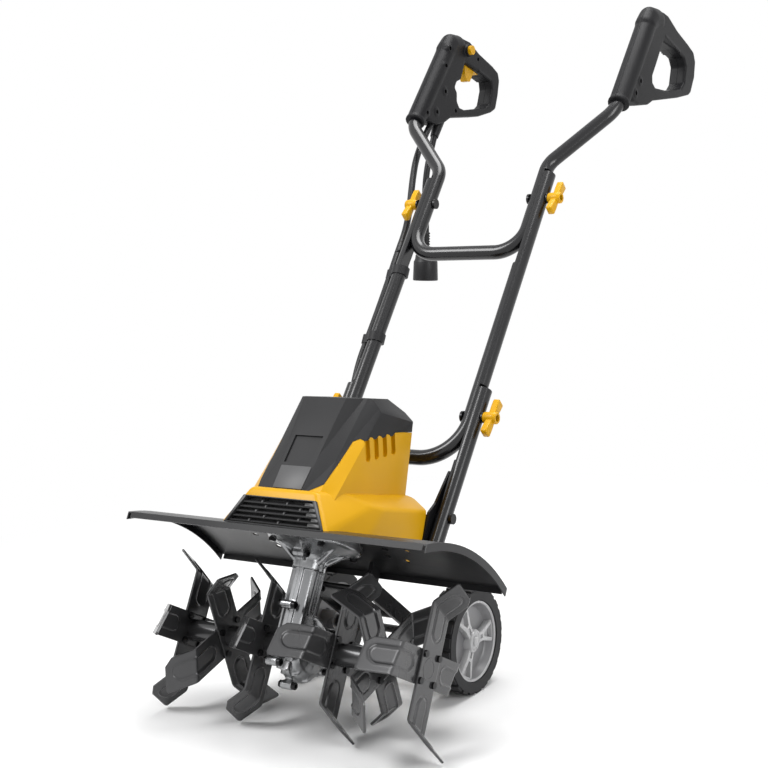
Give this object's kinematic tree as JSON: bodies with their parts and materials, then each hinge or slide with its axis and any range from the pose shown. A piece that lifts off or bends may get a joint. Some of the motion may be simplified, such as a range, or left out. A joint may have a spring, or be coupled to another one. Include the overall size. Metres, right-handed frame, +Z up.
{
  "type": "electric garden tiller",
  "caption": "Corded walk-behind tiller with bent steel tines, cast worm gearbox, curved shield, motor housing, wheels and folding twin-grip handle.",
  "frame": {"origin": "bottom centre of the bounding box, free cord and plug left out, with tines and wheels standing on the floor", "axes": "+Z up, -Y towards the tines' travel, X along the tine and wheel axles"},
  "size_m": [0.4114, 0.9096, 0.8438],
  "materials": {
    "tine_steel": "satin",
    "dark_steel": "satin",
    "bare_steel": "satin",
    "cast_alloy": "cast",
    "bronze": "machined",
    "yellow_plastic": "satin",
    "black_plastic": "satin",
    "grey_plastic": "satin",
    "tyre_rubber": "matte",
    "cord_rubber": "matte"
  },
  "bodies": {
    "chassis": {"gearbox_right": "cast_alloy", "gearbox_left": "cast_alloy", "gearbox_bearings": "bronze", "gearbox_screws": "bare_steel", "shield": "dark_steel", "motor_shroud": "yellow_plastic", "motor_cover": "black_plastic", "grille": "black_plastic", "front_plate": "grey_plastic", "lower_end_frame": "cast_alloy", "stator": "bare_steel", "upper_end_frame": "cast_alloy", "brush_holders": "bronze", "pivot_pin": "bare_steel", "strut_right": "dark_steel", "strut_left": "dark_steel", "strut_brackets": "dark_steel", "strut_fasteners": "bare_steel", "cable_lower": "cord_rubber"},
    "tine_rotor": {"tine_star_outer_right": "tine_steel", "tine_star_middle_right": "tine_steel", "tine_star_inner_right": "tine_steel", "tine_star_outer_left": "tine_steel", "tine_star_middle_left": "tine_steel", "tine_star_inner_left": "tine_steel", "tine_hubs": "tine_steel", "tine_rivets": "dark_steel", "tine_shaft": "bare_steel", "worm_wheel": "bronze"},
    "motor_rotor": {"motor_shaft": "bare_steel", "armature": "bare_steel", "cooling_fan": "black_plastic"},
    "wheel_carrier": {"wheel_bracket": "dark_steel", "wheel_axle": "bare_steel"},
    "wheel_right": {"tyre_right": "tyre_rubber", "rim_right": "grey_plastic"},
    "wheel_left": {"tyre_left": "tyre_rubber", "rim_left": "grey_plastic"},
    "middle_section": {"middle_handle": "dark_steel", "upper_knob_bolts": "bare_steel", "cable_middle": "cord_rubber", "cable_clips": "black_plastic"},
    "upper_section": {"upper_handle": "dark_steel", "grip_right_outer": "black_plastic", "grip_right_inner": "black_plastic", "grip_left_outer": "black_plastic", "grip_left_inner": "black_plastic", "grip_fasteners": "bare_steel", "switch_block": "black_plastic", "cable_upper": "cord_rubber", "pigtail": "cord_rubber", "cord_relief": "cord_rubber", "plug": "black_plastic", "plug_pins": "bronze"},
    "trigger_lever": {"trigger": "yellow_plastic"},
    "lock_plunger": {"lock_button": "yellow_plastic"},
    "knob_lower_right": {"lower_knob_right": "yellow_plastic"},
    "knob_lower_left": {"lower_knob_left": "yellow_plastic"},
    "knob_upper_right": {"upper_knob_right": "yellow_plastic"},
    "knob_upper_left": {"upper_knob_left": "yellow_plastic"}
  },
  "joints": [
    {"name": "tine_spin", "type": "hinge", "parent": "chassis", "child": "tine_rotor", "pos_m": [0, -0.361, 0.09359], "axis": [1, 0, 0], "continuous": true},
    {"name": "motor_spin", "type": "hinge", "parent": "chassis", "child": "motor_rotor", "pos_m": [0, -0.38382, 0.10605], "axis": [0, 0.4791, 0.8777], "continuous": true},
    {"name": "wheel_height", "type": "hinge", "parent": "chassis", "child": "wheel_carrier", "pos_m": [0, -0.27511, 0.14241], "axis": [1, 0, 0], "range_deg": [0, 28]},
    {"name": "wheel_right_spin", "type": "hinge", "parent": "wheel_carrier", "child": "wheel_right", "pos_m": [0.1, -0.17668, 0.0635], "axis": [1, 0, 0], "continuous": true},
    {"name": "wheel_left_spin", "type": "hinge", "parent": "wheel_carrier", "child": "wheel_left", "pos_m": [-0.1, -0.17668, 0.0635], "axis": [1, 0, 0], "continuous": true},
    {"name": "lower_fold", "type": "hinge", "parent": "chassis", "child": "middle_section", "pos_m": [0, -0.11758, 0.32528], "axis": [1, 0, 0], "range_deg": [0, 95]},
    {"name": "upper_fold", "type": "hinge", "parent": "middle_section", "child": "upper_section", "pos_m": [0, 0.08933, 0.58489], "axis": [1, 0, 0], "range_deg": [-150, 0]},
    {"name": "trigger_pull", "type": "hinge", "parent": "upper_section", "child": "trigger_lever", "pos_m": [-0.161, 0.36804, 0.79048], "axis": [-1, 0, 0], "range_deg": [0, 12], "stiffness_Nm_per_rad": 0.6, "springref_deg": -5.73},
    {"name": "lock_press", "type": "slide", "parent": "upper_section", "child": "lock_plunger", "axis": [-1, 0, 0], "range_m": [0, 0.0045], "stiffness_N_per_m": 400, "springref_m": -0.001},
    {"name": "lower_knob_right_turn", "type": "hinge", "parent": "chassis", "child": "knob_lower_right", "pos_m": [0.115, -0.11758, 0.32528], "axis": [1, 0, 0], "continuous": true},
    {"name": "lower_knob_left_turn", "type": "hinge", "parent": "chassis", "child": "knob_lower_left", "pos_m": [-0.115, -0.11758, 0.32528], "axis": [1, 0, 0], "continuous": true},
    {"name": "upper_knob_right_turn", "type": "hinge", "parent": "middle_section", "child": "knob_upper_right", "pos_m": [0.108, 0.08933, 0.58489], "axis": [1, 0, 0], "continuous": true},
    {"name": "upper_knob_left_turn", "type": "hinge", "parent": "middle_section", "child": "knob_upper_left", "pos_m": [-0.108, 0.08933, 0.58489], "axis": [1, 0, 0], "continuous": true}
  ],
  "couplings": [
    {"joint": "motor_spin", "follows": "tine_spin", "ratio": 30}
  ]
}
